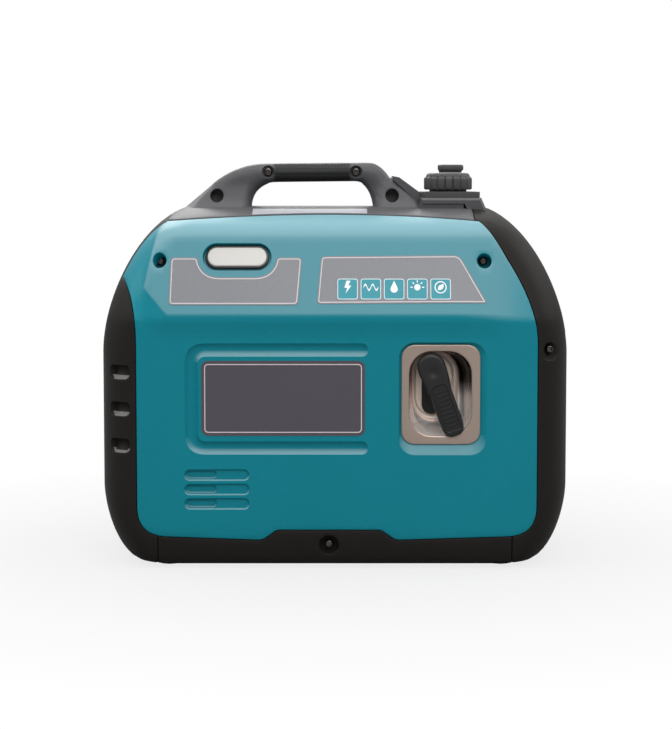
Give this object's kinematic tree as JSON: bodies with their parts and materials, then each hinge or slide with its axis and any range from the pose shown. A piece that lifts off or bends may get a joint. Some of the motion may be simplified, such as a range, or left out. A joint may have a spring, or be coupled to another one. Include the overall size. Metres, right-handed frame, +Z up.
{
  "type": "portable generator",
  "caption": "Closed inverter generator in a moulded carrying case with a top handle, recoil starter dish, screw fuel cap and a control panel with sockets at one end.",
  "frame": {"origin": "on the ground under the middle of the case", "axes": "+X towards the control panel end, -Y towards the starter side, +Z up"},
  "size_m": [0.56, 0.3224, 0.4715],
  "materials": {
    "teal_abs": "injection moulded ABS with a fine spark texture",
    "black_abs": "injection moulded ABS with a fine spark texture",
    "handle_nylon": "glass-filled nylon, satin, with a knurled grip",
    "rubber": "moulded rubber, matt",
    "grip_nylon": "black nylon, satin",
    "pressed_steel": "pressed stainless steel, satin flange and polished bowl",
    "badge_steel": "polished stainless steel with a dark rim",
    "rope": "braided nylon starter cord",
    "grey_plastic": "moulded plastic, dark grey",
    "socket_plastic": "moulded polyamide",
    "black_steel": "black stoved paint on steel",
    "scorched_steel": "steel tube tinted by heat",
    "cast_aluminium": "die cast, dull",
    "plug_ceramic": "glazed ceramic and plated steel",
    "copper": "enamelled copper windings",
    "red_plastic": "moulded red plastic",
    "tank_steel": "painted steel tank",
    "display_glass": "clear smoked window over a display",
    "screw_steel": "black oxide steel",
    "brass": "bare brass"
  },
  "bodies": {
    "casing": {"bottom_tray": "black_abs", "front_panel": "teal_abs", "rear_panel": "teal_abs", "left_end_cover": "black_abs", "right_end_cover": "black_abs", "handle_front_half": "handle_nylon", "handle_rear_half": "handle_nylon", "filler_surround": "black_abs", "filler_drip_tray": "rubber", "front_badge": "badge_steel", "starter_bezel": "pressed_steel", "starter_guide": "rubber", "recoil_housing": "black_steel", "stator": "copper", "crankcase": "cast_aluminium", "cylinder": "cast_aluminium", "spark_plug": "plug_ceramic", "oil_dipstick": "red_plastic", "carburettor": "cast_aluminium", "air_filter_box": "black_abs", "muffler": "black_steel", "muffler_outlet": "scorched_steel", "engine_mount": "rubber", "inner_frame": "black_steel", "fuel_tank": "tank_steel", "fuel_strainer": "grey_plastic", "inverter_module": "cast_aluminium", "control_panel": "grey_plastic", "display_module": "display_glass", "dc_socket": "socket_plastic", "ground_terminal": "brass", "ac_socket_1": "socket_plastic", "ac_socket_2": "socket_plastic", "foot_front_left": "rubber", "panel_screw_front_left": "screw_steel", "foot_front_right": "rubber", "panel_screw_front_right": "screw_steel", "tray_screw_front": "screw_steel", "end_screw_front": "screw_steel", "foot_rear_left": "rubber", "panel_screw_rear_left": "screw_steel", "foot_rear_right": "rubber", "panel_screw_rear_right": "screw_steel", "tray_screw_rear": "screw_steel", "end_screw_rear": "screw_steel", "handle_screw_left": "screw_steel", "handle_screw_right": "screw_steel"},
    "starter_grip": {"starter_grip": "grip_nylon", "starter_rope": "rope"},
    "recoil_pulley": {"recoil_pulley": "grey_plastic"},
    "rotor": {"rotor": "cast_aluminium"},
    "cap_gasket": {"cap_gasket": "rubber"},
    "fuel_cap": {"fuel_cap": "black_abs"},
    "vent_knob": {"vent_knob": "black_abs"},
    "socket_lid_1": {"socket_lid_1": "socket_plastic"},
    "socket_lid_2": {"socket_lid_2": "socket_plastic"},
    "dc_cover": {"dc_cover": "rubber"},
    "engine_switch_knob": {"engine_switch_knob": "grip_nylon"},
    "eco_switch": {"eco_switch": "grip_nylon"},
    "reset_button": {"reset_button": "red_plastic"}
  },
  "joints": [
    {"name": "recoil_pulley_spin", "type": "hinge", "parent": "casing", "child": "recoil_pulley", "pos_m": [0.116, 0, 0.17], "axis": [1, 0, 0], "range_deg": [0, 768], "stiffness_Nm_per_rad": 0.02, "springref_deg": -1145.92},
    {"name": "starter_grip_pull", "type": "slide", "parent": "casing", "child": "starter_grip", "axis": [0, -1, 0], "range_m": [0, 0.7]},
    {"name": "rotor_spin", "type": "hinge", "parent": "casing", "child": "rotor", "pos_m": [0.05, 0, 0.17], "axis": [1, 0, 0], "continuous": true},
    {"name": "fuel_cap_lift", "type": "slide", "parent": "casing", "child": "cap_gasket", "axis": [0, 0, 1], "range_m": [0, 0.009]},
    {"name": "fuel_cap_turn", "type": "hinge", "parent": "cap_gasket", "child": "fuel_cap", "pos_m": [0.1374, 0, 0.45], "axis": [0, 0, 1], "range_deg": [0, 540]},
    {"name": "vent_knob_turn", "type": "hinge", "parent": "fuel_cap", "child": "vent_knob", "pos_m": [0.1374, 0, 0.46], "axis": [0, 0, 1], "range_deg": [0, 90]},
    {"name": "socket_lid_1_swing", "type": "hinge", "parent": "casing", "child": "socket_lid_1", "pos_m": [0.2716, -0.054, 0.1855], "axis": [0, -1, 0], "range_deg": [0, 110], "stiffness_Nm_per_rad": 0.02, "springref_deg": -34.38},
    {"name": "socket_lid_2_swing", "type": "hinge", "parent": "casing", "child": "socket_lid_2", "pos_m": [0.2716, 0.004, 0.1855], "axis": [0, -1, 0], "range_deg": [0, 110], "stiffness_Nm_per_rad": 0.02, "springref_deg": -34.38},
    {"name": "dc_cover_swing", "type": "hinge", "parent": "casing", "child": "dc_cover", "pos_m": [0.27005, 0.064, 0.1985], "axis": [0, -1, 0], "range_deg": [0, 120], "stiffness_Nm_per_rad": 0.01, "springref_deg": -22.92},
    {"name": "engine_switch_turn", "type": "hinge", "parent": "casing", "child": "engine_switch_knob", "pos_m": [0.2668, 0.046, 0.236], "axis": [1, 0, 0], "range_deg": [0, 90]},
    {"name": "eco_switch_rock", "type": "hinge", "parent": "casing", "child": "eco_switch", "pos_m": [0.2645, 0.064, 0.212], "axis": [0, 1, 0], "range_deg": [0, 12]},
    {"name": "reset_button_press", "type": "slide", "parent": "casing", "child": "reset_button", "axis": [-1, 0, 0], "range_m": [0, 0.003], "stiffness_N_per_m": 400, "springref_m": -0.002}
  ],
  "couplings": [
    {"joint": "starter_grip_pull", "follows": "recoil_pulley_spin", "m_per_rad": 0.0522},
    {"joint": "fuel_cap_lift", "follows": "fuel_cap_turn", "m_per_rad": 0.000954}
  ]
}
